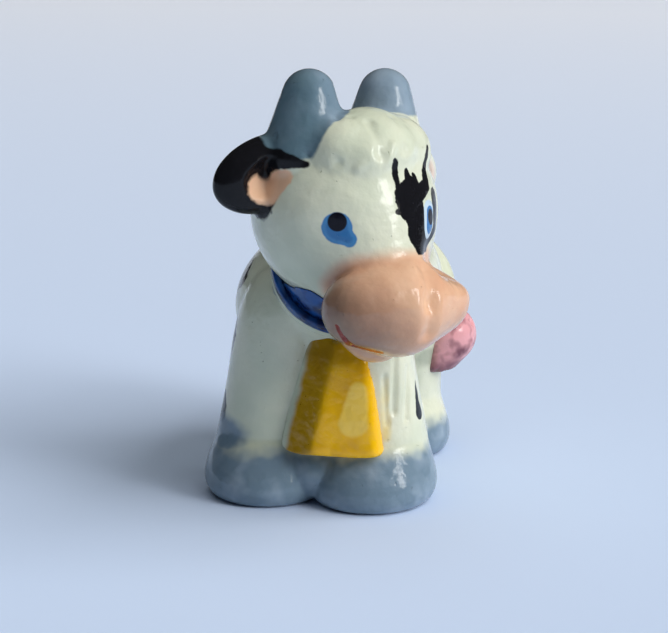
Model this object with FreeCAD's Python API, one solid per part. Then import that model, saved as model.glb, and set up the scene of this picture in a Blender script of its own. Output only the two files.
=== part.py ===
import FreeCAD, Part
import math
import os

# A small glazed ornament: a standing cow with its head turned to its left, a bell on its collar and its
# tail curled round on to its left haunch. It is built up the way a modeller joins lumps of clay: the
# trunk is the core, and every other lump is shaped to the surface that it is pressed on to.
# Millimetres. The cow faces -Y, its left side is +X, and it stands on the plane z = 0.

V = FreeCAD.Vector
UP = V(0, 0, 1)
LEFT = V(1, 0, 0)
BACK = V(0, 1, 0)
ORIGIN = V(0, 0, 0)

# Outlines: how many points set out one closed ring of a swelling form.
RING_POINTS = 12

# Trunk
barrel_width = 17.0
barrel_height = 14.4
barrel_length = 23.0
belly_height = 8.2
barrel_centre_y = 3.6
back_height = belly_height + barrel_height
# stations along the barrel, from the chest to the rump: place, width, height and lift, as shares
barrel_shares = (
    (-0.515, 0.18, 0.17, 0.04),
    (-0.50, 0.42, 0.40, 0.04),
    (-0.44, 0.72, 0.70, 0.03),
    (-0.30, 0.93, 0.93, 0.01),
    (-0.08, 1.00, 1.00, 0.00),
    (0.14, 0.99, 0.98, 0.00),
    (0.33, 0.90, 0.92, 0.02),
    (0.44, 0.70, 0.74, 0.04),
    (0.50, 0.40, 0.42, 0.06),
    (0.515, 0.17, 0.18, 0.06),
)

# Neck
neck_root_x = 1.2
neck_root_inset = 4.7
neck_root_drop = 4.9
neck_yaw_degrees = 18.0
neck_rise_degrees = 34.0
neck_length = 7.0
neck_base_radius = 6.2
neck_throat_radius = 5.3
neck_root_y = barrel_centre_y - barrel_length / 2.0 + neck_root_inset

# Collar
collar_at = 4.6
collar_width = 2.1
collar_thickness = 0.45
collar_round = 0.2

# Bell
bell_height = 9.4
bell_top_width = 5.6
bell_mouth_width = 8.2
bell_top_depth = 3.0
bell_mouth_depth = 4.4
bell_x = 1.9
bell_sink = 0.8
bell_hang = 17.6
bell_lean_degrees = 4.0
bell_squareness = 4.0
# up a bell: the heights of its outlines, as shares
bell_shares = (0.0, 0.5, 1.0)
bell_mouth_z = back_height - bell_hang

# Legs and hooves
# down a hoof: height, and how far it has spread from the leg's outline to its own, as shares
hoof_shares = ((1.0, 0.0), (0.62, 0.7), (0.3, 1.0), (0.0, 1.0))
# up a leg: place, and how much of its straight taper is left there, as shares
leg_shares = ((0.0, 1.0), (0.35, 1.0), (0.7, 1.0), (0.9, 0.82), (1.0, 0.5))
hoof_height = 5.4
sole_inset = 0.7
shoulder_drop = 2.6
front_leg_inset = 3.3
front_leg_overlap = 0.1
front_leg_top_spread = 2.6
front_leg_width = 9.2
front_leg_top_width = 7.4
front_leg_depth = 9.0
front_leg_top_depth = 9.6
front_hoof_width = 10.6
front_hoof_depth = 11.0
front_hoof_forward = 0.9
haunch_drop = 5.6
hind_leg_inset = 6.3
hind_hoof_gap = 2.0
haunch_inset = 3.9
hind_leg_width = 6.4
hind_leg_top_width = 8.4
hind_leg_depth = 7.0
hind_leg_top_depth = 10.4
hind_hoof_width = 7.8
hind_hoof_depth = 8.4
hind_hoof_forward = 0.5
front_leg_spread = front_leg_width / 2.0 - front_leg_overlap
hind_leg_spread = (hind_hoof_width + hind_hoof_gap) / 2.0
hind_leg_top_spread = barrel_width / 2.0 - haunch_inset
front_leg_y = barrel_centre_y - barrel_length / 2.0 + front_leg_inset
hind_leg_y = barrel_centre_y + barrel_length / 2.0 - hind_leg_inset
bell_y = front_leg_y - front_leg_top_depth / 2.0 + bell_sink

# Head
head_x = 2.6
head_forward = 4.8
head_lift = 2.7
head_y = neck_root_y - head_forward
head_yaw_degrees = 50.0
head_roll_degrees = 4.0
face_pitch_degrees = 42.0
skull_radius = 7.65
nose_radius = 4.0
nose_at = 6.6

# Muzzle and lower lip
muzzle_at = 9.8
muzzle_width = 13.6
muzzle_middle_radius = 4.2
muzzle_end_radius = 2.9
muzzle_tilt_degrees = 2.0
lip_radius = 2.75
lip_back_radius = 2.45
lip_length = 1.2
lip_drop = 2.45
lip_back = 2.45

# Horns
horn_spread = 7.8
horn_back = 0.4
horn_root_lift = 4.3
horn_height = 7.1
horn_width = 7.3
horn_tip_radius = 2.2
horn_lean_degrees = 0.0

# Ears
ear_sink = 6.05
ear_back = 1.6
ear_lift = 3.0
ear_length = 10.0
ear_height = 6.2
ear_thickness = 4.2
ear_sweep_degrees = 10.0
ear_droop_degrees = 18.0
ear_bowl_depth = 1.5
bowl_length_share = 0.36
bowl_height_share = 0.33

# Forelock
forelock_width = 7.0
forelock_length = 7.0
forelock_thickness = 4.2
forelock_tilt_degrees = 30.0
forelock_sink = 0.6

# Tail
tail_width = 2.2
tuft_radius = 2.3
tuft_tip_radius = 1.5
tuft_length = 3.6
tail_stand_off = 0.4
tail_root_rise_degrees = 58.0
tuft_stand_off = 1.9
tuft_tilt_degrees = 20.0
tuft_lean_degrees = -28.0
# from the rump round to the left haunch: turned round, and raised from level, in degrees
tail_route_degrees = ((3.0, 44.0), (12.0, 30.0), (28.0, 18.0), (46.0, 8.0), (62.0, -3.0), (73.0, -14.0),
                      (80.0, -24.0))
tuft_place_degrees = (80.0, -32.0)
rump_share = 0.18


def ring(centre, across, along, half_across, half_along, squareness=2.0):
    """A closed smooth outline about a centre: an ellipse, or squarer, laid out on two directions."""
    power = 2.0 / squareness
    points = []
    for step in range(RING_POINTS):
        angle = 2.0 * math.pi * step / RING_POINTS
        cosine = math.cos(angle)
        sine = math.sin(angle)
        x = half_across * math.copysign(abs(cosine) ** power, cosine)
        y = half_along * math.copysign(abs(sine) ** power, sine)
        points.append(centre + across * x + along * y)
    curve = Part.BSplineCurve()
    curve.interpolate(Points=points, PeriodicFlag=True)
    return Part.Wire([curve.toShape()])


def ellipsoid(half_x, half_y, half_z):
    """A closed rounded lump about the origin."""
    matrix = FreeCAD.Matrix()
    matrix.scale(half_x, half_y, half_z)
    return Part.makeSphere(1.0).transformGeometry(matrix)


def tapered_ball(radius, end_radius, length):
    """A ball, a smaller ball further up the Z axis, and the straight taper that touches both."""
    slope = math.asin((radius - end_radius) / length)
    out = V(math.cos(slope), 0, math.sin(slope))
    half_way = math.pi / 4.0 + slope / 2.0
    crown = V(math.cos(half_way), 0, math.sin(half_way))
    low = V(math.cos(slope / 2.0 - math.pi / 4.0), 0, math.sin(slope / 2.0 - math.pi / 4.0))
    end_centre = V(0, 0, length)
    edges = [
        Part.Arc(V(0, 0, -radius), low * radius, out * radius).toShape(),
        Part.LineSegment(out * radius, end_centre + out * end_radius).toShape(),
        Part.Arc(end_centre + out * end_radius, end_centre + crown * end_radius, V(0, 0, length + end_radius)).toShape(),
        Part.LineSegment(V(0, 0, length + end_radius), V(0, 0, -radius)).toShape(),
    ]
    return revolved(edges)


def revolved(edges):
    """A solid turned about the Z axis from a closed half outline."""
    return outward(Part.Face(Part.Wire(edges)).revolve(ORIGIN, UP, 360.0))


def outward(shape):
    """The largest solid of a shape, with its skin facing outwards."""
    solid = max(shape.Solids, key=lambda part: abs(part.Volume))
    if solid.Volume < 0.0:
        solid.reverse()
    return solid


def placed(shape, position, rotation=FreeCAD.Rotation()):
    moved = shape.copy()
    moved.Placement = FreeCAD.Placement(position, rotation).multiply(shape.Placement)
    return moved


def about(axis, degrees):
    return FreeCAD.Rotation(axis, degrees)


def half_space(reach):
    """A block that fills the left side of the cow's middle plane."""
    return Part.makeBox(reach, 2.0 * reach, 2.0 * reach, V(0, -reach, -reach))


# Trunk

def barrel():
    centre_z = back_height - barrel_height / 2.0
    rings = []
    for place, wide, high, lift in barrel_shares:
        centre = V(0, barrel_centre_y + place * barrel_length, centre_z + lift * barrel_height)
        rings.append(ring(centre, LEFT, UP, wide * barrel_width / 2.0, high * barrel_height / 2.0))
    return outward(Part.makeLoft(rings, True, False))


neck_root = V(neck_root_x, neck_root_y, back_height - neck_root_drop)
neck_turn = about(UP, neck_yaw_degrees).multiply(about(LEFT, 90.0 - neck_rise_degrees))


def neck():
    """A stub that stands forward and up out of the chest, narrowing to the throat."""
    return placed(tapered_ball(neck_base_radius, neck_throat_radius, neck_length), neck_root, neck_turn)


def neck_radius(at):
    """The radius of the neck's taper at a distance from its root."""
    sine = (neck_base_radius - neck_throat_radius) / neck_length
    return (neck_base_radius - at * sine) / math.sqrt(1.0 - sine ** 2)


def trunk():
    return barrel().fuse(neck()).removeSplitter()


def collar_band():
    radius = neck_radius(collar_at) + collar_thickness
    band = Part.makeCylinder(radius, collar_width, V(0, 0, collar_at - collar_width / 2.0))
    band = band.makeFillet(collar_round, band.Edges[:])
    return placed(band, neck_root, neck_turn)


# Legs

def leg(y, spread, top_spread, width, top_width, depth, top_depth, top_z):
    """A tapered column from the top of the hoof to inside the trunk."""
    rings = []
    for share, left in leg_shares:
        x = spread + (top_spread - spread) * share
        z = hoof_height + (top_z - hoof_height) * share
        wide = (width + (top_width - width) * share) * left
        deep = (depth + (top_depth - depth) * share) * left
        rings.append(ring(V(x, y, z), LEFT, BACK, wide / 2.0, deep / 2.0))
    return outward(Part.makeLoft(rings, True, False))


def hoof(y, spread, leg_width, leg_depth, width, depth, forward):
    """A foot that spreads from the leg's own outline to a rounded edge at the sole."""
    rings = []
    for level, share in hoof_shares:
        inset = 0.0 if level > 0.0 else 2.0 * sole_inset
        wide = leg_width + (width - leg_width) * share - inset
        deep = leg_depth + (depth - leg_depth) * share - inset
        z = hoof_height * level
        rings.append(ring(V(spread, y - forward * share, z), LEFT, BACK, wide / 2.0, deep / 2.0))
    return outward(Part.makeLoft(rings, True, False))


# Head: its own frame has its origin at the middle of the skull, and it faces -Y

head_turn = about(UP, head_yaw_degrees).multiply(about(BACK, head_roll_degrees))
head_centre = V(head_x, head_y, back_height + head_lift)
face_turn = about(LEFT, face_pitch_degrees - 90.0)
face_axis = face_turn.multVec(V(0, 0, -1))


def on_head(shape):
    return placed(shape, head_centre, head_turn)


def skull():
    """The ball of the skull, narrowing down the face to the nose."""
    return placed(tapered_ball(skull_radius, nose_radius, nose_at), ORIGIN, about(LEFT, face_pitch_degrees + 90.0))


def muzzle():
    """A ball on the nose that tapers to a smaller ball under each nostril."""
    reach = muzzle_width / 2.0 - muzzle_end_radius
    half = tapered_ball(muzzle_middle_radius, muzzle_end_radius, reach)
    left_half = placed(half, ORIGIN, about(BACK, 90.0 - muzzle_tilt_degrees))
    right_half = placed(half, ORIGIN, about(BACK, -90.0 - muzzle_tilt_degrees))
    return placed(outward(left_half.fuse(right_half).removeSplitter()), face_axis * muzzle_at)


def lower_lip():
    lump = tapered_ball(lip_radius, lip_back_radius, lip_length)
    return placed(lump, face_axis * muzzle_at + V(0, lip_back, -lip_drop), about(LEFT, -90.0))


def horn(side):
    """A blunt cone with a ball end, leaning outwards."""
    cone = tapered_ball(horn_width / 2.0, horn_tip_radius, horn_height - horn_tip_radius)
    lean = about(BACK, side * horn_lean_degrees)
    return placed(cone, V(side * horn_spread / 2.0, horn_back, horn_root_lift), lean)


def ear(side):
    """A thick leaf with a bowl pressed into its front."""
    leaf = ellipsoid(ear_length / 2.0, ear_thickness / 2.0, ear_height / 2.0)
    bowl = ellipsoid(ear_length * bowl_length_share, ear_thickness / 2.0, ear_height * bowl_height_share)
    bowl = placed(bowl, V(0, ear_bowl_depth - ear_thickness, 0))
    cup = leaf.cut(bowl)
    turn = about(UP, side * ear_sweep_degrees).multiply(about(BACK, side * ear_droop_degrees))
    return placed(cup, V(side * (skull_radius - ear_sink + ear_length / 2.0), ear_back, ear_lift), turn)


def forelock():
    lump = ellipsoid(forelock_width / 2.0, forelock_length / 2.0, forelock_thickness / 2.0)
    tilt = about(LEFT, forelock_tilt_degrees)
    return placed(lump, tilt.multVec(UP) * (skull_radius - forelock_sink), tilt)


# Bell

def bell():
    rings = []
    for share in bell_shares:
        wide = bell_mouth_width + (bell_top_width - bell_mouth_width) * share
        deep = bell_mouth_depth + (bell_top_depth - bell_mouth_depth) * share
        z = bell_mouth_z + bell_height * share
        y = bell_y + math.tan(math.radians(bell_lean_degrees)) * bell_height * share
        rings.append(ring(V(bell_x, y, z), LEFT, BACK, wide / 2.0, deep / 2.0, bell_squareness))
    return outward(Part.makeLoft(rings, True, False))


# Tail: it runs over the rump and round the left haunch, and its tuft lies on the haunch

def on_barrel(turn, rise, stand_off):
    """A point off the barrel: turned round from the rump towards the left, and raised from level."""
    centre = V(0, barrel_centre_y + barrel_length * rump_share, back_height - barrel_height / 2.0)
    across = math.cos(math.radians(rise))
    away = V(math.sin(math.radians(turn)) * across, math.cos(math.radians(turn)) * across,
             math.sin(math.radians(rise)))
    outside = centre + away * barrel_length
    skin = barrel().distToShape(Part.Vertex(outside))[1][0][0]
    away = (outside - skin).normalize()
    return skin + away * stand_off, away


def tail():
    """A round cord laid over the rump and round the left haunch."""
    stations = [on_barrel(0.0, tail_root_rise_degrees, -tail_width)]
    stations += [on_barrel(turn, rise, tail_stand_off) for turn, rise in tail_route_degrees]
    spine = Part.BSplineCurve()
    spine.interpolate(Points=[point for point, away in stations])
    rings = []
    for point, away in stations:
        tangent = spine.tangent(spine.parameter(point))[0]
        across = tangent.cross(away).normalize()
        rings.append(ring(point, across, across.cross(tangent), tail_width / 2.0, tail_width / 2.0))
    return outward(Part.makeLoft(rings, True, False))


def tuft():
    """A drop that hangs with its narrow end down, forward and in."""
    drop = tapered_ball(tuft_radius, tuft_tip_radius, tuft_length)
    turn = about(LEFT, 180.0 - tuft_tilt_degrees).multiply(about(BACK, tuft_lean_degrees))
    around, rise = tuft_place_degrees
    return placed(drop, on_barrel(around, rise, tuft_stand_off)[0], turn)


def build():
    parts = {}
    head = on_head(skull())
    core = trunk()
    nose = on_head(muzzle())
    lip = on_head(lower_lip())
    parts["head"] = head
    parts["trunk"] = core.cut(head)
    parts["muzzle"] = nose.cut(head)
    parts["lower_lip"] = lip.cut(head).cut(nose).cut(core)
    left_side = half_space(barrel_length)
    front_leg = leg(front_leg_y, front_leg_spread, front_leg_top_spread, front_leg_width,
                    front_leg_top_width, front_leg_depth, front_leg_top_depth, back_height - shoulder_drop)
    front_leg = outward(front_leg.common(left_side))
    front_hoof = hoof(front_leg_y, front_leg_spread, front_leg_width, front_leg_depth,
                      front_hoof_width, front_hoof_depth, front_hoof_forward)
    front_hoof = outward(front_hoof.common(left_side))
    hind_leg = leg(hind_leg_y, hind_leg_spread, hind_leg_top_spread, hind_leg_width,
                   hind_leg_top_width, hind_leg_depth, hind_leg_top_depth, back_height - haunch_drop)
    hind_hoof = hoof(hind_leg_y, hind_leg_spread, hind_leg_width, hind_leg_depth,
                     hind_hoof_width, hind_hoof_depth, hind_hoof_forward)
    for name, flip in (("left", False), ("right", True)):
        for fore, limb, foot in (("front_", front_leg, front_hoof), ("hind_", hind_leg, hind_hoof)):
            if flip:
                limb = limb.mirror(ORIGIN, LEFT)
                foot = foot.mirror(ORIGIN, LEFT)
            for lump in (core, head, nose, lip):
                limb = limb.cut(lump)
            parts[fore + name + "_leg"] = limb
            parts[fore + name + "_hoof"] = foot
    for side, name in ((1, "left"), (-1, "right")):
        tip = on_head(horn(side))
        parts[name + "_horn"] = tip.cut(head)
        parts[name + "_ear"] = on_head(ear(side)).cut(head).cut(tip)
    parts["forelock"] = on_head(forelock()).cut(head)
    band = collar_band().cut(neck()).cut(head).cut(barrel())
    swinging = bell().cut(core).cut(band)
    for name in ("front_left_leg", "front_right_leg"):
        band = band.cut(parts[name])
        swinging = swinging.cut(parts[name])
    parts["collar"] = band
    parts["bell"] = swinging
    parts["tail"] = tail().cut(core).cut(parts["hind_left_leg"])
    parts["tail_tuft"] = tuft().cut(core).cut(parts["tail"]).cut(parts["hind_left_leg"])
    return parts


def main():
    """Write each lump, with the origin on the ground under the middle of the whole cow."""
    os.makedirs("parts", exist_ok=True)
    solids = {name: outward(shape) for name, shape in build().items()}
    box = Part.makeCompound(list(solids.values())).optimalBoundingBox()
    middle = V(-box.Center.x, -box.Center.y, -box.ZMin)
    for name, solid in solids.items():
        solid.translate(middle)
        print(name, solid.isValid(), round(solid.Volume, 2))
        solid.exportStep("parts/" + name + ".step")
    print("moved by", [round(value, 4) for value in middle])


main()
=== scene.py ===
import math

import bmesh
import bpy
import numpy
from mathutils import Euler, Matrix, Vector


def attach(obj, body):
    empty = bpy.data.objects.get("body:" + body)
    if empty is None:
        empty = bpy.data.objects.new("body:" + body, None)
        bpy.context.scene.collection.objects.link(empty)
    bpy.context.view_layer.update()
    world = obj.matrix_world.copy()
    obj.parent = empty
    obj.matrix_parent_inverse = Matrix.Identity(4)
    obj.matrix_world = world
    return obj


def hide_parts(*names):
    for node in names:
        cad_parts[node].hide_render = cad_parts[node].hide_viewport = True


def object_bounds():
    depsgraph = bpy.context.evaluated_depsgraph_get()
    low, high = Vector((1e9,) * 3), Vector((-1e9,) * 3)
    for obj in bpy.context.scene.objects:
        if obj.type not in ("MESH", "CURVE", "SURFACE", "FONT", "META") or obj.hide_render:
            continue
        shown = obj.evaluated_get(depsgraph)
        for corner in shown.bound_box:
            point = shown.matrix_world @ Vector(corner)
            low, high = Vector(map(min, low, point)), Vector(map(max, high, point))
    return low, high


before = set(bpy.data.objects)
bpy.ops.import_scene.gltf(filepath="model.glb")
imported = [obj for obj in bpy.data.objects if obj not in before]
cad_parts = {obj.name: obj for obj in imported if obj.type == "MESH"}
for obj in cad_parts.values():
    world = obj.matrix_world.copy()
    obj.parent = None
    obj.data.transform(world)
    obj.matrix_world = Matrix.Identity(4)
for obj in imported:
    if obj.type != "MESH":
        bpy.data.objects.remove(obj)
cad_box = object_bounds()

# Sizes and places are millimetres on the part unless a line says otherwise, and MM makes metres of them.
# The cow faces -Y, its left side is +X, and it stands on z = 0.
MM = 0.001
X = 0
Y = 1
Z = 2

# The skull's own frame: its origin is the middle of the skull, and it faces -Y before it is turned and rolled
SKULL_CENTRE = Vector((0.8597, -6.6608, 25.3)) * MM
HEAD_YAW = math.radians(50.0)
HEAD_ROLL = math.radians(4.0)
SKULL_RADIUS = 7.65

# Glaze colours, linear
WHITE_GLAZE = (0.73, 0.74, 0.58)
THICK_WHITE = (0.61, 0.65, 0.50)
HORN_GREY = (0.17, 0.245, 0.31)
HORN_PALE = (0.29, 0.37, 0.45)
HORN_SHADE_GREY = (0.085, 0.155, 0.185)
PEACH = (0.72, 0.41, 0.255)
PEACH_PALE = (0.80, 0.51, 0.33)
PEACH_DEEP = (0.47, 0.20, 0.12)
BLACK = (0.008, 0.008, 0.010)
IRIS_BLUE = (0.025, 0.15, 0.38)
IRIS_EDGE = (0.05, 0.22, 0.48)
PUPIL = (0.003, 0.003, 0.009)
MUZZLE_SHADE = (0.22, 0.125, 0.085)
MOUTH_RED = (0.26, 0.028, 0.012)
MOUTH_ORANGE = (0.48, 0.08, 0.015)
EYE_WHITE = (0.50, 0.62, 0.70)
INNER_EAR_PINK = (0.74, 0.58, 0.50)
COLLAR_BLUE = (0.010, 0.080, 0.29)
COLLAR_DARK = (0.006, 0.018, 0.075)
BELL_YELLOW = (0.95, 0.52, 0.003)
BELL_AMBER = (0.60, 0.27, 0.002)
BELL_SHADE_OLIVE = (0.30, 0.16, 0.004)
BELL_THIN_AND_HIGHLIGHT = (1.0, 0.68, 0.11)
TUFT_PINK = (0.76, 0.37, 0.39)
TUFT_MAUVE = (0.20, 0.065, 0.09)
SPILT_YELLOW = (0.80, 0.62, 0.16)
OLIVE = (0.16, 0.20, 0.14)
FLOOR_BLUE = (0.64, 0.76, 0.97)
FLOOR_GREY = (0.83, 0.87, 0.96)

# All noise has the same fineness
NOISE_DETAIL = 2.0
NOISE_ROUGHNESS = 0.5

# The clear glaze over the paint: its gloss, its waves and its pinholes. A share is of the waves' height.
GLAZE_ROUGHNESS = 0.10
ROUGHNESS_RANGE = 0.10
ROUGHNESS_BLOTCH = 1.6
GLAZE_IOR = 1.5
MIRROR = 0.36
MIRROR_LOST_ON_DARK = 0.24
COAT_WEIGHT = 0.2
COAT_ROUGHNESS = 0.09
MILKY_REACH = (0.9, 0.9, 0.7)
WAVE_HEIGHT = 0.2
WAVE_SIZE = 2.4
RIPPLE_SIZE = 0.7
RIPPLE_SHARE = 0.25
PINHOLE_BLOTCH = 0.45
PINHOLE_LEVEL = 0.25
PINHOLE_EDGE = 0.04
PINHOLE_SHARE = 0.5

# Meshes: how near two loose points are joined, and how far one round of smoothing goes
JOINED_WITHIN = 0.002
SMOOTHING = 0.5


# Shapes

def copied(node, into):
    """Adds a node's mesh to a bmesh, with its loose triangles joined up."""
    start = len(into.verts)
    into.from_mesh(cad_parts[node].data)
    into.verts.ensure_lookup_table()
    bmesh.ops.remove_doubles(into, verts=into.verts[start:], dist=JOINED_WITHIN * MM)


def skin(name, nodes, grain, rounds, smears=()):
    """One glazed skin over several lumps: they run together, and the joints between them fill up.

    The grain is the finest size that the skin keeps, and the rounds are how often it is smoothed.
    A smear is clay rubbed into a joint: its place on the part in metres, and its radius.
    """
    shape = bmesh.new()
    for node in nodes:
        copied(node, shape)
    for place, radius in smears:
        spot = Matrix.Translation(place)
        bmesh.ops.create_icosphere(shape, subdivisions=4, radius=radius * MM, matrix=spot)
    mesh = bpy.data.meshes.new(name)
    shape.to_mesh(mesh)
    shape.free()
    piece = bpy.data.objects.new(name, mesh)
    bpy.context.scene.collection.objects.link(piece)
    remesh = piece.modifiers.new("run together", "REMESH")
    remesh.mode = "VOXEL"
    remesh.voxel_size = grain * MM
    soften = piece.modifiers.new("pooled glaze", "SMOOTH")
    soften.factor = SMOOTHING
    soften.iterations = rounds
    applied(piece)
    for face in piece.data.polygons:
        face.use_smooth = True
    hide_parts(*nodes)
    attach(piece, "root")
    return piece


def applied(piece):
    """Makes the piece's modifiers part of its mesh."""
    seen = piece.evaluated_get(bpy.context.evaluated_depsgraph_get())
    mesh = bpy.data.meshes.new_from_object(seen)
    piece.modifiers.clear()
    piece.data = mesh


def on_part(place):
    """A place in millimetres as a place on the part in metres."""
    return Vector(place) * MM


def on_head(place):
    """A place in the skull's own frame, in millimetres, as a place on the part in metres."""
    return SKULL_CENTRE + Euler((0.0, HEAD_ROLL, HEAD_YAW)).to_matrix() @ Vector(place) * MM


def points_of(piece):
    """The places and the outward directions of a piece's points."""
    mesh = piece.data
    spots = numpy.empty(3 * len(mesh.vertices))
    mesh.vertices.foreach_get("co", spots)
    ways = numpy.empty(3 * len(mesh.vertices))
    mesh.vertices.foreach_get("normal", ways)
    return spots.reshape(-1, 3), ways.reshape(-1, 3)


def move_points(piece, spots):
    """Puts a piece's points at new places."""
    piece.data.vertices.foreach_set("co", spots.ravel())
    piece.data.update()


def press(piece, lines, home):
    """Draws a modelling tool through the soft clay: start, end, width and depth of each line.

    A depth below nothing raises a ridge. Home turns a line's place into a place on the part.
    """
    spots, ways = points_of(piece)
    for start, end, width, depth in lines:
        first = numpy.array(home(start))
        run = numpy.array(home(end)) - first
        along = numpy.clip((spots - first) @ run / (run @ run), 0.0, 1.0)
        gap = numpy.linalg.norm(spots - first - along[:, None] * run, axis=1)
        near = numpy.clip(1.0 - gap / (width * MM / 2.0), 0.0, 1.0)
        hollow = near * near * (3.0 - 2.0 * near)
        spots = spots - ways * (hollow * depth * MM)[:, None]
    move_points(piece, spots)


def swell(piece, thickness):
    """Lays one more coat over the whole piece."""
    spots, ways = points_of(piece)
    move_points(piece, spots + ways * thickness * MM)


def flare(piece, height, thickness):
    """Presses the foot of the piece out sideways below a height, and keeps it in the solids' box."""
    spots, ways = points_of(piece)
    low = numpy.clip(1.0 - spots[:, Z] / (height * MM), 0.0, 1.0)
    level = ways * numpy.array((1.0, 1.0, 0.0))
    spots = spots + level * (low * thickness * MM)[:, None]
    move_points(piece, numpy.clip(spots, cad_box[0], cad_box[1]))


def ease(piece, place, reach, rounds):
    """Smooths the clay within a reach of a place on the part."""
    shape = bmesh.new()
    shape.from_mesh(piece.data)
    near = [vert for vert in shape.verts if (vert.co - place).length < reach * MM]
    for _ in range(rounds):
        bmesh.ops.smooth_vert(shape, verts=near, factor=SMOOTHING,
                              use_axis_x=True, use_axis_y=True, use_axis_z=True)
    shape.to_mesh(piece.data)
    shape.free()


def pare(piece, place, facing):
    """Cuts a flat face with a straight edge: all that stands beyond it goes."""
    spots, _ = points_of(piece)
    out = numpy.array(Vector(facing).normalized())
    beyond = numpy.clip((spots - numpy.array(place) * MM) @ out, 0.0, None)
    move_points(piece, spots - beyond[:, None] * out)


# Materials

class Paint:
    """A glazed paint being built up, coat over coat."""

    def __init__(self, name):
        self.material = bpy.data.materials.new(name)
        self.material.use_nodes = True
        self.nodes = self.material.node_tree.nodes
        self.links = self.material.node_tree.links
        self.shader = self.nodes["Principled BSDF"]
        self.place = self.nodes.new("ShaderNodeTexCoord").outputs["Object"]

    def wire(self, value, socket):
        """Links a socket to another one, or sets it to a number or a colour."""
        if isinstance(value, bpy.types.NodeSocket):
            self.links.new(value, socket)
        elif socket.type == "RGBA":
            socket.default_value = (*value, 1.0)
        else:
            socket.default_value = value

    def maths(self, operation, *values, clamp=False):
        """One step of arithmetic on numbers."""
        node = self.nodes.new("ShaderNodeMath")
        node.operation = operation
        node.use_clamp = clamp
        for value, socket in zip(values, node.inputs):
            self.wire(value, socket)
        return node.outputs[0]

    def vector(self, operation, *values, scale=None):
        """One step of arithmetic on places."""
        node = self.nodes.new("ShaderNodeVectorMath")
        node.operation = operation
        for value, socket in zip(values, node.inputs):
            self.wire(value, socket)
        if scale is not None:
            self.wire(scale, node.inputs["Scale"])
        return node.outputs["Value"] if operation in ("DOT_PRODUCT", "LENGTH") else node.outputs[0]

    def framed(self, centre, turn):
        """The place on the piece in millimetres, in a frame of its own."""
        node = self.nodes.new("ShaderNodeMapping")
        node.vector_type = "TEXTURE"
        self.wire(self.place, node.inputs["Vector"])
        node.inputs["Location"].default_value = centre
        node.inputs["Rotation"].default_value = turn
        node.inputs["Scale"].default_value = (MM, MM, MM)
        return node.outputs[0]

    def millimetres(self):
        """The place on the part in millimetres."""
        return self.framed((0.0, 0.0, 0.0), (0.0, 0.0, 0.0))

    def part_of(self, vector, axis):
        """A place along one axis: X, Y or Z."""
        node = self.nodes.new("ShaderNodeSeparateXYZ")
        self.wire(vector, node.inputs[0])
        return node.outputs[axis]

    def noise(self, size):
        """Noise whose blotches are about one size across, from 0 to 1."""
        node = self.nodes.new("ShaderNodeTexNoise")
        self.wire(self.place, node.inputs["Vector"])
        node.inputs["Scale"].default_value = 1.0 / (size * MM)
        node.inputs["Detail"].default_value = NOISE_DETAIL
        node.inputs["Roughness"].default_value = NOISE_ROUGHNESS
        return node.outputs["Fac"]

    def below(self, value, limit):
        """A distance that is less than nothing where a value is below a limit."""
        return self.maths("SUBTRACT", value, limit)

    def above(self, value, limit):
        """A distance that is less than nothing where a value is above a limit."""
        return self.maths("SUBTRACT", limit, value)

    def ragged(self, distance, size, amount):
        """A distance made uneven, as a brush leaves an edge."""
        wobble = self.maths("MULTIPLY_ADD", self.noise(size), 2.0 * amount, -amount)
        return self.maths("ADD", distance, wobble)

    def inside(self, distance, soft):
        """1 where a distance is below nothing, fading over a width."""
        node = self.nodes.new("ShaderNodeMapRange")
        node.interpolation_type = "SMOOTHSTEP"
        self.wire(distance, node.inputs["Value"])
        node.inputs["From Min"].default_value = soft / 2.0
        node.inputs["From Max"].default_value = -soft / 2.0
        return node.outputs[0]

    def faint(self, mask, share):
        """A mask that lets only a share of its coat show."""
        return self.maths("MULTIPLY", mask, share)

    def lump(self, place, centre, sizes):
        """About how far a place is outside an oval lump with these half sizes."""
        offset = self.vector("SUBTRACT", place, centre)
        scaled = self.vector("DIVIDE", offset, sizes)
        length = self.vector("LENGTH", scaled)
        return self.maths("MULTIPLY", self.maths("SUBTRACT", length, 1.0), min(sizes))

    def stroke(self, place, start, end, start_width, end_width):
        """How far a place is outside one brush stroke that may widen or narrow."""
        run = Vector(end) - Vector(start)
        offset = self.vector("SUBTRACT", place, tuple(start))
        reached = self.vector("DOT_PRODUCT", offset, tuple(run))
        along = self.maths("DIVIDE", reached, run.length_squared, clamp=True)
        gone = self.vector("SCALE", tuple(run), scale=along)
        distance = self.vector("LENGTH", self.vector("SUBTRACT", offset, gone))
        radius = self.maths("MULTIPLY_ADD", along, (end_width - start_width) / 2.0, start_width / 2.0)
        return self.maths("SUBTRACT", distance, radius)

    def strokes(self, place, rows):
        """How far a place is outside the nearest of several brush strokes."""
        return self.nearest([self.stroke(place, *row) for row in rows])

    def nearest(self, distances):
        """The least of several distances."""
        result = distances[0]
        for distance in distances[1:]:
            result = self.maths("MINIMUM", result, distance)
        return result

    def over(self, under, coat, mask):
        """One coat over another where the mask is 1."""
        node = self.nodes.new("ShaderNodeMix")
        node.data_type = "RGBA"
        self.wire(mask, node.inputs["Factor"])
        self.wire(under, node.inputs["A"])
        self.wire(coat, node.inputs["B"])
        return next(out for out in node.outputs if out.type == "RGBA")

    def mottled(self, colour, other, size, low=0.35, high=0.7):
        """Two shades of one glaze, in soft blotches."""
        node = self.nodes.new("ShaderNodeMapRange")
        self.wire(self.noise(size), node.inputs["Value"])
        node.inputs["From Min"].default_value = low
        node.inputs["From Max"].default_value = high
        return self.over(colour, other, node.outputs[0])

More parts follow.
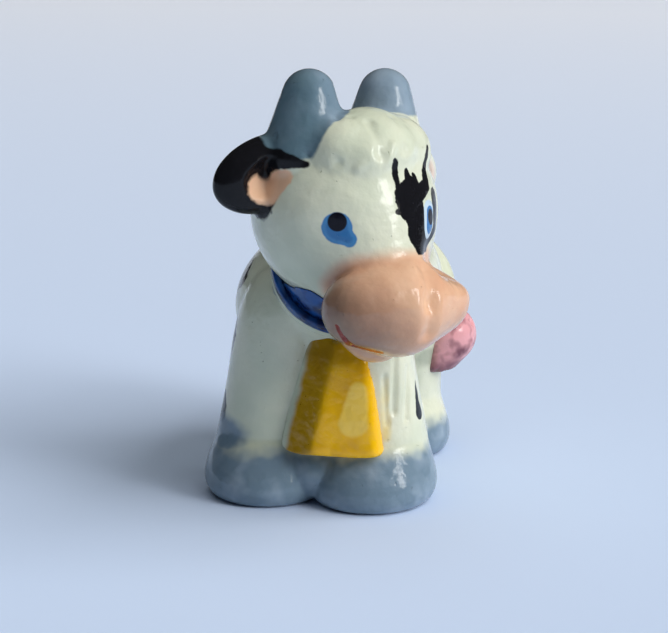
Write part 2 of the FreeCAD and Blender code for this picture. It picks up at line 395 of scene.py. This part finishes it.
    def fired(self, colour, milky=0.12, dark=0.0):
        """The clear, slightly uneven glaze over the paint; where dark is 1 it mirrors less of the room."""
        self.wire(colour, self.shader.inputs["Base Color"])
        rough = self.maths("MULTIPLY_ADD", self.noise(ROUGHNESS_BLOTCH), ROUGHNESS_RANGE, GLAZE_ROUGHNESS)
        self.wire(rough, self.shader.inputs["Roughness"])
        self.shader.inputs["IOR"].default_value = GLAZE_IOR
        mirror = self.maths("MULTIPLY_ADD", dark, -MIRROR_LOST_ON_DARK, MIRROR)
        self.wire(mirror, self.shader.inputs["Specular IOR Level"])
        self.shader.inputs["Coat Weight"].default_value = COAT_WEIGHT
        self.shader.inputs["Coat Roughness"].default_value = COAT_ROUGHNESS
        if milky:
            self.shader.inputs["Subsurface Weight"].default_value = milky
            self.shader.inputs["Subsurface Radius"].default_value = MILKY_REACH
            self.shader.inputs["Subsurface Scale"].default_value = MM
        ripples = self.maths("MULTIPLY", self.noise(RIPPLE_SIZE), RIPPLE_SHARE)
        waves = self.maths("ADD", self.noise(WAVE_SIZE), ripples)
        holes = self.inside(self.below(self.noise(PINHOLE_BLOTCH), PINHOLE_LEVEL), PINHOLE_EDGE)
        height = self.maths("ADD", waves, self.maths("MULTIPLY", holes, -PINHOLE_SHARE))
        node = self.nodes.new("ShaderNodeBump")
        node.inputs["Distance"].default_value = WAVE_HEIGHT * MM
        node.inputs["Strength"].default_value = 1.0
        self.wire(height, node.inputs["Height"])
        self.wire(node.outputs[0], self.shader.inputs["Normal"])
        return self.material


def dress(piece, material):
    """Gives a piece its paint."""
    piece.data.materials.clear()
    piece.data.materials.append(material)


# Head

def on_skull(side, rise):
    """A place on the skull: degrees round from the face's middle to its left, and up from level."""
    s = math.radians(side)
    r = math.radians(rise)
    return Vector((math.sin(s) * math.cos(r), -math.cos(s) * math.cos(r), math.sin(r))) * SKULL_RADIUS


HEAD_NODES = ("head", "muzzle", "lower_lip", "left_horn", "right_horn", "left_ear", "right_ear", "forelock")
# Clay rubbed in between the horns and the forelock: place in the skull's frame, and radius
HEAD_SMEARS = (
    ((-2.6, -2.6, 4.9), 3.1),
    ((2.6, -2.6, 4.9), 3.1),
    ((-1.6, -4.0, 4.6), 2.7),
)
# The forelock is smoothed round here before its locks are drawn
FORELOCK_MIDDLE = (-0.8, -4.4, 6.4)
# Tool lines in the clay of the head: start, end, width and depth, in the skull's frame
MUZZLE_LINES = (
    ((5.4, -8.2, -3.2), (4.2, -8.6, -2.8), 6.4, 0.95),
    ((0.8, -9.7, -3.2), (0.2, -11.4, -5.6), 2.6, 0.45),
    ((0.2, -11.4, -5.6), (0.3, -11.2, -8.2), 2.4, 0.35),
)
FORELOCK_LINES = (
    ((-3.4, -2.6, 7.7), (-3.7, -4.4, 5.9), 1.4, 0.30),
    ((-3.0, -4.6, 5.9), (-2.7, -5.6, 4.9), 1.6, 0.24),
    ((-1.5, -4.4, 7.4), (-1.9, -6.2, 5.3), 1.5, 0.30),
    ((0.9, -4.0, 7.6), (0.5, -6.3, 5.6), 1.5, 0.28),
    ((0.3, -6.6, 5.9), (0.2, -6.8, 5.4), 0.6, 0.30),
    ((-4.4, -3.6, 5.6), (-4.6, -4.6, 4.6), 1.3, 0.20),
    ((-2.4, -5.9, 4.9), (-3.4, -5.7, 4.2), 1.3, -0.18),
    ((-0.6, -6.3, 6.0), (-1.3, -6.9, 4.6), 1.3, -0.24),
    ((-2.2, -4.2, 6.9), (-2.6, -5.0, 6.2), 1.2, -0.26),
    ((-3.9, -1.9, 7.2), (-2.4, -3.2, 7.6), 1.1, 0.28),
)
HORN_LINES = (
    ((-7.0, 0.2, 6.0), (-5.9, -2.5, 4.9), 0.7, 0.22),
    ((-5.1, -1.75, 9.8), (-5.1, -1.75, 9.7), 0.45, 0.25),
)
MOUTH_LINES = (
    ((-6.4, -8.0, -7.7), (-5.8, -8.1, -8.6), 0.7, 0.14),
    ((-5.8, -8.1, -8.6), (-4.6, -7.9, -9.4), 0.7, 0.14),
    ((-4.6, -7.9, -9.4), (-2.6, -8.4, -9.9), 0.7, 0.12),
)
HEAD_LINES = MUZZLE_LINES + FORELOCK_LINES + HORN_LINES + MOUTH_LINES

# Paint in the skull's frame. A lump is its middle and half sizes; a stroke is its ends and the width at each.
FACE_PITCH = math.radians(42.0)
NOSE_WAY = Vector((0.0, -math.cos(FACE_PITCH), -math.sin(FACE_PITCH)))
NOSE_REACH = 9.8
NOSE = (tuple(NOSE_WAY * NOSE_REACH), (7.6, 4.9, 4.6))
CHIN = ((0.0, -4.6, -9.8), (3.9, 4.2, 3.0))
# The peach is deepest this far in from its edge, and browner in a lump low on the right: partly a browner
# airbrush, partly painted shade
PEACH_RIM_INSET = 0.6
MUZZLE_SHADE_LUMP = ((-6.2, -8.4, -7.8), (4.6, 4.6, 4.0))
RIGHT_EAR_BACK = ((-10.4, 1.6, 2.6), (3.9, 3.8, 4.9))
RIGHT_EAR_LOBE = ((-9.5, 0.5, 0.0), (-7.9, -0.3, 0.2), 1.6, 0.6)
RIGHT_EAR_BOWL = ((-8.1, 0.0, 2.0), (-6.9, -1.1, 3.0), 2.7, 1.4)
LEFT_EAR_BOWL = ((8.8, -0.6, 2.2), (2.2, 1.8, 2.0))
SHELF_STROKES = (
    ((-9.6, 0.9, 5.0), (-7.6, -0.7, 4.4), 2.4, 1.7),
    ((-7.6, -0.7, 4.4), (-6.1, -2.6, 4.2), 1.7, 0.5),
)
HORN_STROKES = (
    ((-3.9, 0.4, 6.0), (-3.9, 0.4, 10.4), 7.9, 5.6),
    ((3.9, 0.4, 9.6), (3.9, 0.4, 10.4), 6.6, 5.8),
)
# The right horn has painted shade to the right of this
HORN_OUTER_SIDE = -4.4
HORN_PINHOLE = ((-5.1, -1.75, 9.8), (0.2, 0.2, 0.2))
MOUTH_STROKES = (
    ((-6.5, -8.0, -7.6), (-5.8, -8.1, -8.6), 0.35, 0.55),
    ((-5.8, -8.1, -8.6), (-4.8, -8.0, -9.35), 0.6, 0.85),
    ((-4.8, -8.0, -9.35), (-2.4, -8.4, -10.0), 0.85, 0.75),
)
# The mouth is brighter to the left of this
MOUTH_TURNS_ORANGE = -3.6

# Paint on the ball of the skull: places are (side, rise) in degrees
PATCH_STROKES = (
    ((6.5, 15.0), (9.5, -1.0), 2.7, 2.3),
    ((10.0, -1.0), (15.0, -11.5), 2.3, 2.0),
    ((0.5, 14.0), (3.5, 9.0), 1.8, 2.2),
    ((-1.5, 17.5), (8.0, 19.0), 1.3, 2.0),
    ((12.0, -4.0), (19.0, -12.5), 2.2, 1.7),
    ((8.0, 17.0), (6.5, 31.0), 1.7, 0.45),
    ((13.0, 18.0), (13.5, 28.0), 1.5, 0.5),
    ((3.0, 16.0), (-4.0, 15.0), 1.4, 0.7),
    ((-4.0, 14.5), (-5.5, 13.0), 0.6, 0.35),
    ((-3.0, 17.0), (-4.2, 35.0), 0.55, 0.6),
    ((5.0, 9.0), (-5.3, 7.0), 1.5, 0.45),
    ((6.0, 3.0), (1.0, 1.5), 1.2, 0.4),
    ((8.0, -3.0), (4.0, -4.5), 1.2, 0.5),
    ((9.5, -7.0), (5.5, -9.0), 1.2, 0.4),
    ((11.0, -9.0), (10.0, -15.5), 1.2, 0.4),
    ((16.0, -12.0), (17.0, -17.5), 1.2, 0.5),
    ((14.0, 17.0), (25.0, 21.0), 1.5, 1.1),
    ((25.0, 21.0), (38.0, 40.0), 1.1, 0.4),
    ((2.0, 20.0), (9.0, 22.0), 1.3, 1.7),
    ((9.0, -5.0), (14.5, -15.0), 2.3, 1.8),
    ((15.0, -11.0), (20.0, -17.0), 1.8, 1.2),
    ((34.0, 14.0), (33.0, -6.0), 1.3, 1.0),
    ((33.0, -6.0), (22.0, -15.0), 1.0, 0.7),
)
# The patch runs this far in under the edge of the peach
PATCH_UNDER_PEACH = 0.25
# The left eye is an upright almond, and the right one is round with a blunt end towards the nose
LEFT_EYE_WHITE = ((23.5, 6.0), (21.5, -4.5), 1.7, 1.6)
LEFT_IRIS = ((24.5, 4.5), (23.0, -3.5), 1.15, 1.2)
LEFT_PUPIL = (25.0, 2.0)
LEFT_PUPIL_SIZES = (0.5, 0.5, 0.65)
RIGHT_IRIS = (-42.5, -3.0)
RIGHT_IRIS_SIZES = (1.22, 1.22, 1.22)
RIGHT_IRIS_DROP = ((-39.5, -6.0), (-35.0, -9.0), 2.0, 1.2)
RIGHT_IRIS_RIM = 0.35
RIGHT_PUPIL = (-42.5, 0.6)
RIGHT_PUPIL_SIZES = (0.76, 0.76, 0.76)


def skull_stroke(paint, ball, start, end, start_width, end_width):
    """How far a place is outside a brush stroke whose ends are given in degrees on the skull."""
    return paint.stroke(ball, on_skull(*start), on_skull(*end), start_width, end_width)


def skull_dot(paint, ball, at, sizes):
    """How far a place is outside a dot whose place is given in degrees on the skull."""
    return paint.lump(ball, tuple(on_skull(*at)), sizes)


def peach_on(colour, paint, head, muzzle):
    """Peach muzzle and lip, airbrushed at the edge, and browner low on the right, partly airbrush and partly
    painted shade.
    """
    peach = paint.mottled(PEACH, PEACH_PALE, size=3.0)
    rim = paint.inside(paint.maths("ABSOLUTE", paint.below(muzzle, -PEACH_RIM_INSET)), soft=1.2)
    peach = paint.over(peach, PEACH_DEEP, paint.faint(rim, share=0.30))
    # painted shade, over a browner airbrush, low on the right of the muzzle
    low = paint.inside(paint.lump(head, *MUZZLE_SHADE_LUMP), soft=4.5)
    peach = paint.over(peach, MUZZLE_SHADE, paint.faint(low, share=0.85))
    return paint.over(colour, peach, paint.inside(muzzle, soft=1.2))


def bowls_on(colour, paint, head):
    """Peach in the bowl of the right ear, and pink in the left one's."""
    bowl = paint.ragged(paint.stroke(head, *RIGHT_EAR_BOWL), size=0.8, amount=0.25)
    colour = paint.over(colour, PEACH_PALE, paint.inside(bowl, soft=0.3))
    return paint.over(colour, INNER_EAR_PINK, paint.inside(paint.lump(head, *LEFT_EAR_BOWL), soft=1.0))


def horns_on(colour, paint, head):
    """Grey horns, with painted shade on the outer side of the right one and painted light on the left one,
    and one dark pinhole.
    """
    sideways = paint.part_of(head, X)
    grey = paint.mottled(HORN_GREY, HORN_PALE, size=2.2, low=0.45, high=0.75)
    # painted shade on the outer side of the right horn
    outer = paint.inside(paint.below(sideways, HORN_OUTER_SIDE), soft=3.2)
    grey = paint.over(grey, HORN_SHADE_GREY, paint.faint(outer, share=0.7))
    # painted light: the left horn is paler where the light falls on it
    left = paint.inside(paint.above(sideways, 0.0), soft=2.0)
    grey = paint.over(grey, HORN_PALE, paint.faint(left, share=0.55))
    horn = paint.ragged(paint.strokes(head, HORN_STROKES), size=1.2, amount=0.22)
    colour = paint.over(colour, grey, paint.inside(horn, soft=0.3))
    return paint.over(colour, BLACK, paint.inside(paint.lump(head, *HORN_PINHOLE), soft=0.15))


def left_eye_on(colour, paint, ball, pupil):
    """An upright almond of white, a blue iris and a dark pupil."""
    white = skull_stroke(paint, ball, *LEFT_EYE_WHITE)
    colour = paint.over(colour, EYE_WHITE, paint.inside(white, soft=0.10))
    iris = skull_stroke(paint, ball, *LEFT_IRIS)
    colour = paint.over(colour, IRIS_BLUE, paint.inside(iris, soft=0.10))
    return paint.over(colour, PUPIL, paint.inside(pupil, soft=0.10))


def right_eye_on(colour, paint, ball, pupil):
    """A round iris, drawn down towards the nose, and a dark pupil."""
    iris = paint.nearest([
        skull_dot(paint, ball, RIGHT_IRIS, RIGHT_IRIS_SIZES),
        skull_stroke(paint, ball, *RIGHT_IRIS_DROP),
    ])
    iris = paint.ragged(iris, size=0.6, amount=0.08)
    rim = paint.inside(paint.above(iris, -RIGHT_IRIS_RIM), soft=0.3)
    blue = paint.over(IRIS_BLUE, IRIS_EDGE, rim)
    colour = paint.over(colour, blue, paint.inside(iris, soft=0.14))
    return paint.over(colour, PUPIL, paint.inside(pupil, soft=0.12))


def mouth_on(colour, paint, head):
    """One red stroke, brighter at its end."""
    mouth = paint.ragged(paint.strokes(head, MOUTH_STROKES), size=0.5, amount=0.05)
    end = paint.inside(paint.above(paint.part_of(head, X), MOUTH_TURNS_ORANGE), soft=1.5)
    red = paint.over(MOUTH_RED, MOUTH_ORANGE, end)
    return paint.over(colour, red, paint.inside(mouth, soft=0.10))


def face_paint():
    """White glaze with a peach muzzle, a black patch and ear, grey horns, two eyes and a red mouth."""
    paint = Paint("face glaze")
    head = paint.framed(SKULL_CENTRE, (0.0, HEAD_ROLL, HEAD_YAW))
    ball = paint.vector("SCALE", paint.vector("NORMALIZE", head), scale=SKULL_RADIUS)
    nose_and_chin = paint.nearest([paint.lump(head, *NOSE), paint.lump(head, *CHIN)])
    muzzle = paint.ragged(nose_and_chin, size=2.0, amount=0.25)
    ear = paint.nearest([paint.lump(head, *RIGHT_EAR_BACK), paint.stroke(head, *RIGHT_EAR_LOBE)])
    ear = paint.ragged(ear, size=0.9, amount=0.2)
    # the ear's black rim runs on as a shelf under the horn
    shelf = paint.ragged(paint.strokes(head, SHELF_STROKES), size=0.8, amount=0.15)
    # a black patch round the left eye, drawn out in drips, that stops at the peach
    patch = paint.nearest([skull_stroke(paint, ball, *row) for row in PATCH_STROKES])
    patch = paint.ragged(patch, size=0.6, amount=0.14)
    patch = paint.maths("MAXIMUM", patch, paint.above(muzzle, -PATCH_UNDER_PEACH))
    left_pupil = skull_dot(paint, ball, LEFT_PUPIL, LEFT_PUPIL_SIZES)
    right_pupil = skull_dot(paint, ball, RIGHT_PUPIL, RIGHT_PUPIL_SIZES)

    colour = paint.mottled(WHITE_GLAZE, THICK_WHITE, size=5.0)
    colour = peach_on(colour, paint, head, muzzle)
    colour = paint.over(colour, BLACK, paint.inside(ear, soft=0.2))
    colour = bowls_on(colour, paint, head)
    colour = horns_on(colour, paint, head)
    colour = paint.over(colour, BLACK, paint.inside(shelf, soft=0.2))
    colour = paint.over(colour, BLACK, paint.inside(patch, soft=0.10))
    colour = left_eye_on(colour, paint, ball, left_pupil)
    colour = right_eye_on(colour, paint, ball, right_pupil)
    colour = mouth_on(colour, paint, head)
    dark = paint.inside(paint.nearest([ear, shelf, patch, right_pupil, left_pupil]), soft=0.2)
    return paint.fired(colour, dark=dark)


def head_piece():
    smears = [(on_head(place), radius) for place, radius in HEAD_SMEARS]
    piece = skin("face", HEAD_NODES, grain=0.18, rounds=12, smears=smears)
    ease(piece, on_head(FORELOCK_MIDDLE), reach=5.6, rounds=30)
    press(piece, HEAD_LINES, on_head)
    dress(piece, face_paint())


# Body

BODY_NODES = ("trunk", "front_left_leg", "front_right_leg", "hind_left_leg", "hind_right_leg",
              "front_left_hoof", "front_right_hoof", "hind_left_hoof", "hind_right_hoof", "tail")
# Clay rubbed in between the front hooves
BODY_SMEARS = (
    ((-1.74, -5.7, 2.8), 2.7),
    ((-1.74, -4.8, 5.2), 3.0),
)
# Tool lines down the left front leg
BODY_LINES = (
    ((5.2, -6.2, 12.8), (5.1, -6.8, 8.4), 1.1, 0.26),
    ((6.2, -5.0, 11.8), (6.1, -6.0, 7.6), 1.0, 0.24),
    ((4.4, -7.1, 11.4), (4.7, -7.3, 7.4), 0.9, 0.20),
    ((7.0, -3.4, 12.0), (7.1, -4.4, 8.4), 1.0, 0.20),
)
# The hooves are pressed out below a height, by this much at the ground
HOOF_FLARE_HEIGHT = 5.0
HOOF_FLARE = 0.4

# The neck's root, and the way that it stands out of the chest
NECK_ROOT = (-0.5403, -1.8608, 17.7)
NECK_RISE = math.radians(34.0)
NECK_YAW = math.radians(18.0)
NECK_WAY = Euler((math.radians(90.0) - NECK_RISE, 0.0, NECK_YAW)).to_matrix() @ Vector((0.0, 0.0, 1.0))
# How far up the neck the body's blue and the collar's blue begin
NECK_BLUE_FROM = 3.5
COLLAR_BLUE_FROM = 4.6

# Black lumps of paint on the right flank, and a streak with a drop at its end on the left front leg
FLANK_PATCHES = (
    ((-9.4, -0.6, 18.6), (1.6, 4.0, 1.9)),
    ((-9.4, -4.6, 14.0), (1.0, 1.9, 1.7)),
    ((-10.1, -4.8, 7.4), (0.9, 2.0, 1.5)),
    ((-9.8, 7.5, 16.0), (1.6, 3.6, 3.4)),
)
STREAK_STROKES = (
    ((6.7, -3.7, 11.2), (6.7, -4.1, 8.4), 0.5, 0.8),
    ((6.7, -4.1, 8.4), (6.8, -4.1, 7.7), 0.9, 1.3),
)
# A faint olive patch on the left hind leg beside the tuft, partly painted shade, and yellow that ran over
# from the bell
OLIVE_PATCH_AND_SHADE = ((6.0, 7.0, 9.4), (1.6, 1.6, 0.9))
SPILT_STROKE = ((4.5, -7.2, 11.0), (4.6, -7.6, 6.4), 0.5, 1.0)
# Hooves: how high their paint stands, how much lower it is at the back, and where it rises on the right
HOOF_PAINT_HEIGHT = 4.7
HOOF_PAINT_DROP = 1.3
HIND_FROM = 4.0
HOOF_PAINT_RISEN = ((-9.6, -6.4, 5.4), (2.4, 3.0, 1.5))


def up_the_neck(paint, place):
    """How far a place is up the neck from its root."""
    return paint.vector("DOT_PRODUCT", paint.vector("SUBTRACT", place, NECK_ROOT), tuple(NECK_WAY))


def hooves_on(colour, paint, place):
    """Grey hooves, lower at the back, fading upwards."""
    behind = paint.inside(paint.above(paint.part_of(place, Y), HIND_FROM), soft=2.0)
    edge = paint.maths("MULTIPLY_ADD", behind, HOOF_PAINT_DROP, -HOOF_PAINT_HEIGHT)
    low = paint.maths("ADD", paint.part_of(place, Z), edge)
    hoof = paint.nearest([low, paint.lump(place, *HOOF_PAINT_RISEN)])
    hoof = paint.ragged(hoof, size=2.6, amount=1.0)
    grey = paint.mottled(HORN_GREY, HORN_PALE, size=2.2, low=0.45, high=0.75)
    return paint.over(colour, grey, paint.inside(hoof, soft=1.3))


def body_paint():
    """White glaze with black patches on the right flank, a blue neck and grey hooves."""
    paint = Paint("body glaze")
    place = paint.millimetres()
    patch = paint.nearest([paint.lump(place, *row) for row in FLANK_PATCHES])
    patch = paint.ragged(patch, size=1.6, amount=0.5)
    streak = paint.strokes(place, STREAK_STROKES)
    olive_patch_and_shade = paint.ragged(paint.lump(place, *OLIVE_PATCH_AND_SHADE), size=1.0, amount=0.3)
    spilt = paint.ragged(paint.stroke(place, *SPILT_STROKE), size=0.9, amount=0.2)
    # the neck is blue from the collar up to the head
    neck = paint.above(up_the_neck(paint, place), NECK_BLUE_FROM)
    neck = paint.ragged(neck, size=1.2, amount=0.12)
    blue = paint.mottled(COLLAR_BLUE, COLLAR_DARK, size=1.5, low=0.4, high=0.6)

    colour = paint.mottled(WHITE_GLAZE, THICK_WHITE, size=4.5)
    colour = paint.over(colour, BLACK, paint.inside(patch, soft=0.15))
    ragged_streak = paint.ragged(streak, size=0.6, amount=0.08)
    colour = paint.over(colour, BLACK, paint.inside(ragged_streak, soft=0.12))
    # a faint olive patch, partly painted shade beside the tuft
    colour = paint.over(colour, OLIVE, paint.faint(paint.inside(olive_patch_and_shade, soft=0.8), share=0.5))
    colour = paint.over(colour, SPILT_YELLOW, paint.faint(paint.inside(spilt, soft=0.6), share=0.6))
    colour = paint.over(colour, blue, paint.inside(neck, soft=0.15))
    colour = hooves_on(colour, paint, place)
    dark = paint.inside(paint.nearest([patch, streak]), soft=0.2)
    return paint.fired(colour, dark=dark)


def body_piece():
    smears = [(on_part(place), radius) for place, radius in BODY_SMEARS]
    piece = skin("body", BODY_NODES, grain=0.20, rounds=9, smears=smears)
    press(piece, BODY_LINES, on_part)
    flare(piece, HOOF_FLARE_HEIGHT, HOOF_FLARE)
    dress(piece, body_paint())


# Bell

DOWN = (0.0, 0.0, -1.0)
BELL_COAT = 0.45
BELL_MOUTH = (0.0, 0.0, 4.95)
# A point on the bell's ridge, and the two flat faces that meet there
BELL_RIDGE = (-0.5, -9.05, 9.5)
BELL_FACES = ((-0.55, -0.83, 0.24), (0.05, -0.99, 0.14))
# A reach that takes in the whole bell
BELL_WHOLE = 20.0
# The ridge on the front: how far it is to the right at the ground, and how it leans in as it rises
RIDGE_OUT = 2.5
RIDGE_LEAN = 0.21
# The yellow stops this far beyond the ridge, short of the bell's own right side
YELLOW_BEYOND_RIDGE = 2.35
# Where the yellow is thin and carries a painted highlight, in the middle of the front, and where painted
# shade darkens it under the collar
THIN_AND_HIGHLIGHT_STROKE = ((2.5, -9.2, 10.6), (2.2, -9.6, 8.0), 1.8, 2.6)
SHADE_UNDER_COLLAR_FROM = 12.6


def bell_paint():
    """Yellow glaze, with painted shade on the bell's right side and under the collar, and thin glaze with a
    painted highlight on the front.
    """
    paint = Paint("bell glaze")
    place = paint.millimetres()
    colour = paint.mottled(BELL_YELLOW, BELL_AMBER, size=3.2, low=0.5, high=0.85)
    # painted shade: the bell's side to the right of the ridge is darker olive
    ridge = paint.maths("MULTIPLY_ADD", paint.part_of(place, Z), -RIDGE_LEAN, RIDGE_OUT)
    right_face = paint.maths("ADD", paint.part_of(place, X), ridge)
    shaded = paint.inside(right_face, soft=1.5)
    colour = paint.over(colour, BELL_SHADE_OLIVE, paint.faint(shaded, share=0.65))
    bare = paint.ragged(paint.below(right_face, -YELLOW_BEYOND_RIDGE), size=1.4, amount=0.25)
    colour = paint.over(colour, THICK_WHITE, paint.inside(bare, soft=0.6))
    # thin glaze with a painted highlight on the bell's front
    thin = paint.ragged(paint.stroke(place, *THIN_AND_HIGHLIGHT_STROKE), size=1.0, amount=0.15)
    colour = paint.over(colour, BELL_THIN_AND_HIGHLIGHT, paint.faint(paint.inside(thin, soft=0.35), share=0.9))
    # painted shade at the top of the bell, under the collar
    shade_under_collar = paint.ragged(paint.above(paint.part_of(place, Z), SHADE_UNDER_COLLAR_FROM), size=1.5, amount=0.4)
    colour = paint.over(colour, BELL_SHADE_OLIVE, paint.faint(paint.inside(shade_under_collar, soft=1.6), share=0.5))
    return paint.fired(colour, milky=0.05)


def bell_piece():
    piece = skin("bell_relief", ("bell",), grain=0.14, rounds=6)
    swell(piece, BELL_COAT)
    pare(piece, BELL_MOUTH, DOWN)
    for facing in BELL_FACES:
        pare(piece, BELL_RIDGE, facing)
    ease(piece, on_part(BELL_RIDGE), reach=BELL_WHOLE, rounds=12)
    dress(piece, bell_paint())


# Collar

def collar_paint():
    """Blue glaze, with white along the collar's lower edge."""
    paint = Paint("collar glaze")
    blue = paint.mottled(COLLAR_BLUE, COLLAR_DARK, size=1.5, low=0.4, high=0.7)
    edge = paint.below(up_the_neck(paint, paint.millimetres()), COLLAR_BLUE_FROM)
    edge = paint.ragged(edge, size=1.2, amount=0.15)
    colour = paint.over(blue, THICK_WHITE, paint.inside(edge, soft=0.2))
    return paint.fired(colour, milky=0.0, dark=0.6)


def collar_piece():
    piece = skin("collar_band", ("collar",), grain=0.12, rounds=2)
    dress(piece, collar_paint())


# Tuft of the tail

TUFT_COAT = 0.4
# The flat face at the tuft's tip
TUFT_TIP = (0.0, 0.0, 7.5)
TUFT_TIP_WAY = (0.1, 0.0, -1.0)
# The locks of the tuft run from its top to its tip
TUFT_LINES = (
    ((9.3, 10.2, 12.4), (6.7, 8.6, 7.6), 0.8, 0.28),
    ((8.3, 8.8, 12.6), (6.3, 8.0, 7.8), 0.8, 0.28),
    ((9.6, 11.6, 11.4), (7.4, 9.6, 7.2), 0.8, 0.25),
)
# The tip is mauve below this height
MAUVE_BELOW = 9.0


def tuft_paint():
    """Pink and mauve glaze, mauve towards the tip."""
    paint = Paint("tuft glaze")
    place = paint.millimetres()
    colour = paint.mottled(TUFT_PINK, TUFT_MAUVE, size=1.8, low=0.5, high=0.7)
    tip = paint.ragged(paint.below(paint.part_of(place, Z), MAUVE_BELOW), size=1.2, amount=0.8)
    return paint.fired(paint.over(colour, TUFT_MAUVE, paint.faint(paint.inside(tip, soft=1.5), share=0.8)))


def tuft_piece():
    piece = skin("tuft_of_hair", ("tail_tuft",), grain=0.14, rounds=8)
    pare(piece, TUFT_TIP, TUFT_TIP_WAY)
    swell(piece, TUFT_COAT)
    press(piece, TUFT_LINES, on_part)
    dress(piece, tuft_paint())


# Studio, in metres and watts. Angles are degrees round from the cow's front to its left, and up from level.

FLOOR_REACH = 9.0
PAPER_ROUGHNESS = 0.9
PAPER_MIRROR = 0.1
# The paper is fully grey this far behind the part
PAPER_GREY_BEHIND = 0.45
ROOM_COLOUR = (1.0, 0.98, 0.86, 1.0)
ROOM_STRENGTH = 0.04
LAMP_DISTANCE = 8.0
# Name, round, up, size, power, colour, and whether the glaze mirrors it
LAMPS = (
    ("sky", 86.0, 38.0, (8.4, 8.4), 672.0, (0.985, 0.99, 1.0), False),
    ("ceiling", 0.0, 89.0, (9.6, 9.6), 200.0, (0.97, 0.99, 1.0), False),
    ("window", 70.0, 26.0, (2.0, 3.6), 184.0, (1.0, 0.99, 0.97), True),
)
CAMERA_ROUND = 12.0
CAMERA_UP = 14.0
CAMERA_DISTANCE = 0.170
CAMERA_SEES_FROM = 0.01
# The point that the camera looks at, its lens and its sensor are in millimetres
CAMERA_TARGET = (-1.69, 1.339, 14.2)
CAMERA_LENS = 105.4
CAMERA_SENSOR = 36.0


def way_to(round_degrees, up_degrees):
    """The direction from the part to a place round and up from its front."""
    azimuth = math.radians(round_degrees)
    elevation = math.radians(up_degrees)
    level = math.cos(elevation)
    return Vector((math.sin(azimuth) * level, -math.cos(azimuth) * level, math.sin(elevation)))


def floor_paper():
    """Plain pale paper, a little greyer towards the back."""
    paint = Paint("floor paper")
    away = paint.nodes.new("ShaderNodeMapRange")
    paint.wire(paint.part_of(paint.place, Y), away.inputs["Value"])
    away.inputs["From Min"].default_value = 0.0
    away.inputs["From Max"].default_value = PAPER_GREY_BEHIND
    colour = paint.over(FLOOR_BLUE, FLOOR_GREY, away.outputs[0])
    paint.wire(colour, paint.shader.inputs["Base Color"])
    paint.shader.inputs["Roughness"].default_value = PAPER_ROUGHNESS
    paint.shader.inputs["Specular IOR Level"].default_value = PAPER_MIRROR
    return paint.material


def lay_floor():
    """The paper that the figurine stands on."""
    mesh = bpy.data.meshes.new("floor")
    shape = bmesh.new()
    bmesh.ops.create_grid(shape, x_segments=1, y_segments=1, size=FLOOR_REACH)
    shape.to_mesh(mesh)
    shape.free()
    floor = bpy.data.objects.new("floor", mesh)
    bpy.context.scene.collection.objects.link(floor)
    mesh.materials.append(floor_paper())


def room():
    """A dim, even glow from all round."""
    world = bpy.data.worlds.new("soft room")
    world.use_nodes = True
    glow = world.node_tree.nodes["Background"]
    glow.inputs["Color"].default_value = ROOM_COLOUR
    glow.inputs["Strength"].default_value = ROOM_STRENGTH
    bpy.context.scene.world = world


def lamp(name, round_degrees, up_degrees, size, power, colour, mirrored):
    """A soft rectangle of light, far enough off to light the whole floor evenly."""
    light = bpy.data.lights.new(name, "AREA")
    light.shape = "RECTANGLE"
    light.size, light.size_y = size
    light.energy = power
    light.color = colour
    away = way_to(round_degrees, up_degrees)
    source = bpy.data.objects.new(name, light)
    source.location = away * LAMP_DISTANCE
    source.rotation_euler = away.to_track_quat("Z", "Y").to_euler()
    source.visible_glossy = mirrored
    bpy.context.scene.collection.objects.link(source)


def camera():
    """The photograph's view: from a little to the cow's left and above."""
    data = bpy.data.cameras.new("camera")
    data.sensor_width = CAMERA_SENSOR
    data.lens = CAMERA_LENS
    data.clip_start = CAMERA_SEES_FROM
    away = way_to(CAMERA_ROUND, CAMERA_UP)
    holder = bpy.data.objects.new("camera", data)
    holder.location = on_part(CAMERA_TARGET) + away * CAMERA_DISTANCE
    holder.rotation_euler = away.to_track_quat("Z", "Y").to_euler()
    bpy.context.scene.collection.objects.link(holder)
    bpy.context.scene.camera = holder


body_piece()
head_piece()
bell_piece()
collar_piece()
tuft_piece()
lay_floor()
room()
for row in LAMPS:
    lamp(*row)
bpy.context.scene.view_settings.view_transform = "Standard"
camera()
